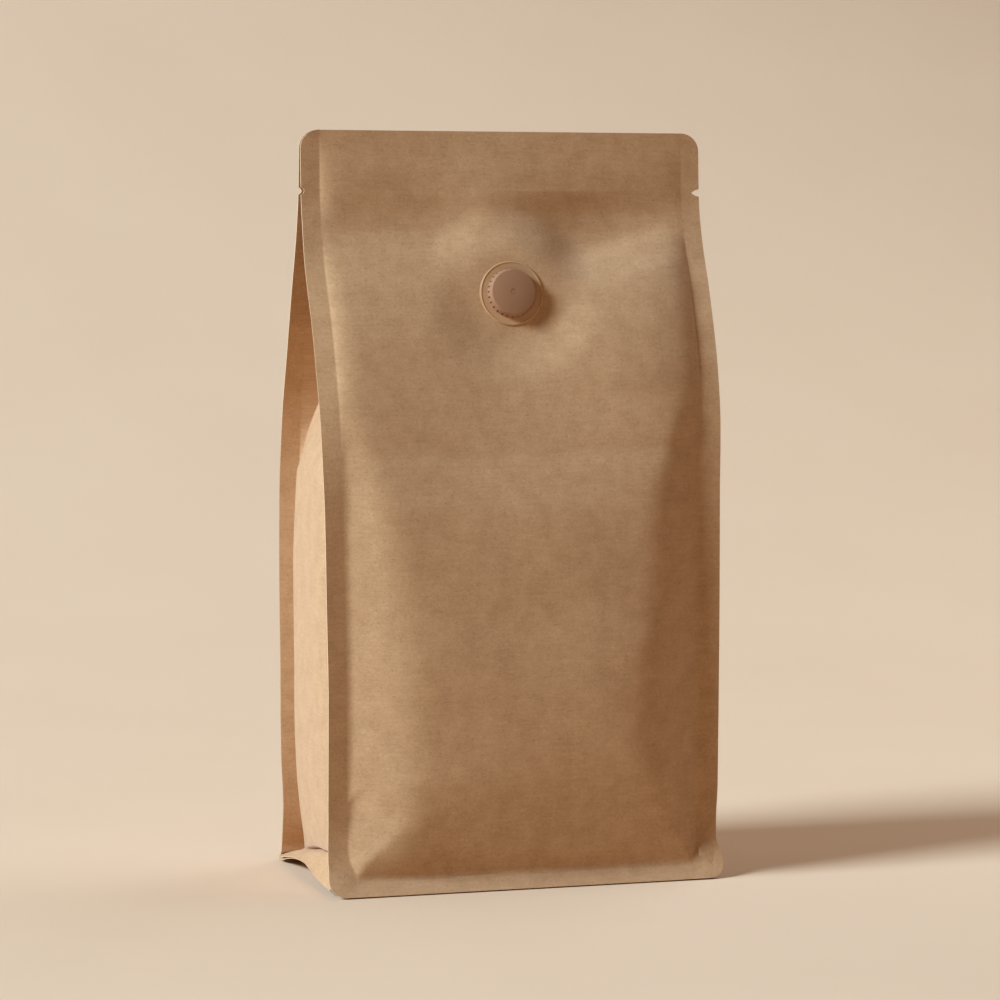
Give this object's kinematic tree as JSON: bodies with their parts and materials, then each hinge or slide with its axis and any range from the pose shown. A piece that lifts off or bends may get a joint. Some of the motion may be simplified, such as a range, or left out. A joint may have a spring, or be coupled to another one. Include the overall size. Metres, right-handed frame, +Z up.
{
  "type": "coffee bag",
  "caption": "Filled, heat-sealed kraft coffee pouch with a flat bottom, folded side gussets, sealed edge fins, tear notches and a round one-way degassing valve on its face.",
  "frame": {"origin": "middle of the standing pouch's footprint, at the table", "axes": "+Z up along the pouch's height, -Y towards the face with the valve, +X to the right of that face"},
  "size_m": [0.135, 0.0778, 0.241],
  "materials": {
    "kraft_laminate": "uncoated brown kraft paper laminate, matte, with fine fibres",
    "valve_film": "thin satin film, brown",
    "valve_plastic": "moulded satin plastic, brown"
  },
  "bodies": {
    "root": {"pouch": "kraft_laminate", "valve_flange": "valve_film", "valve_cap": "valve_plastic"}
  },
  "joints": []
}
